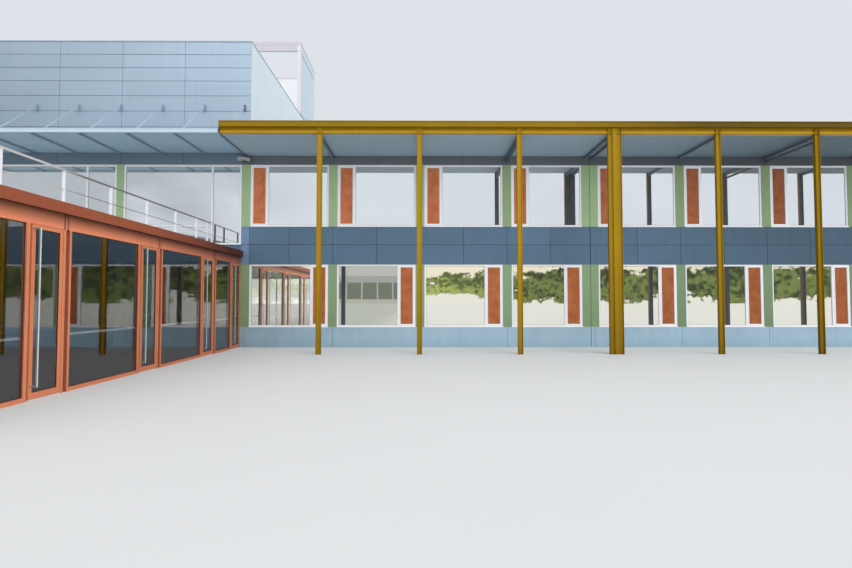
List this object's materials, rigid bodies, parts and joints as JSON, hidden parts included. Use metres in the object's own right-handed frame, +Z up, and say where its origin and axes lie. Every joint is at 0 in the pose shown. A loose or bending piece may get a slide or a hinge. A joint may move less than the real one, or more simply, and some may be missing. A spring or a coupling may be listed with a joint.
{
  "type": "school building",
  "caption": "School building with a long two-storey wing behind a yellow columned overhang, a tall clad hall with a canopy and roof lantern, and a low glazed wing under a railed terrace.",
  "frame": {"origin": "on the ground at the foot of the second front column, in the middle of its base", "axes": "+X along the front to the right, +Y from the courtyard into the building, +Z up"},
  "size_m": [37.38, 21.735, 14.215],
  "materials": {
    "concrete": "matt",
    "pale_blue_panel": "satin",
    "green_panel": "satin",
    "slate_blue_panel": "satin",
    "dark_band": "satin",
    "white_frame": "satin",
    "terracotta_panel": "matt",
    "glass": "clear",
    "soffit_grey": "matt",
    "ochre_edge": "satin",
    "yellow_steel": "satin",
    "dark_steel": "satin",
    "blue_cladding": "satin",
    "pale_render": "matt",
    "pale_canopy": "satin",
    "pale_steel": "satin",
    "orange_frame": "satin",
    "brown_edge": "satin"
  },
  "bodies": {
    "building": {"ground_slab": "concrete", "plinth": "pale_blue_panel", "pilasters": "green_panel", "spandrel": "slate_blue_panel", "lintel": "dark_band", "window_frames": "white_frame", "vent_panels": "terracotta_panel", "window_glass": "glass", "upper_floor": "concrete", "main_roof": "soffit_grey", "fascia": "ochre_edge", "eaves_beam": "yellow_steel", "columns": "yellow_steel", "rain_pipes": "yellow_steel", "rafters": "dark_steel", "end_walls": "pale_blue_panel", "hall_cladding": "blue_cladding", "hall_sides": "pale_render", "hall_roof": "concrete", "hall_frames": "white_frame", "hall_glass": "glass", "canopy": "pale_canopy", "canopy_ribs": "dark_steel", "tie_rods": "pale_steel", "wing_posts": "orange_frame", "wing_rails": "orange_frame", "wing_glass": "glass", "wing_fascia": "brown_edge", "wing_roof": "concrete", "guard_rails": "white_frame", "hinges_fixed": "orange_frame", "railing": "pale_steel", "lantern_posts": "white_frame", "lantern_rails": "white_frame", "lantern_glass": "glass", "lantern_panels": "white_frame", "lantern_roof": "white_frame", "floodlights": "pale_steel"},
    "door_1": {"door_leaf_1": "orange_frame", "door_glass_1": "glass"},
    "door_2": {"door_leaf_2": "orange_frame", "door_glass_2": "glass"},
    "door_3": {"door_leaf_3": "orange_frame", "door_glass_3": "glass"},
    "door_4": {"door_leaf_4": "orange_frame", "door_glass_4": "glass"}
  },
  "joints": [
    {"name": "door_1_hinge", "type": "hinge", "parent": "building", "child": "door_1", "pos_m": [-6.135, -5.866, 1.4], "axis": [0, 0, 1], "range_deg": [0, 90]},
    {"name": "door_2_hinge", "type": "hinge", "parent": "building", "child": "door_2", "pos_m": [-6.135, -2.911, 1.4], "axis": [0, 0, 1], "range_deg": [0, 90]},
    {"name": "door_3_hinge", "type": "hinge", "parent": "building", "child": "door_3", "pos_m": [-6.135, 0.044, 1.4], "axis": [0, 0, 1], "range_deg": [0, 90]},
    {"name": "door_4_hinge", "type": "hinge", "parent": "building", "child": "door_4", "pos_m": [-6.135, 2.077, 1.4], "axis": [0, 0, 1], "range_deg": [0, 80]}
  ]
}
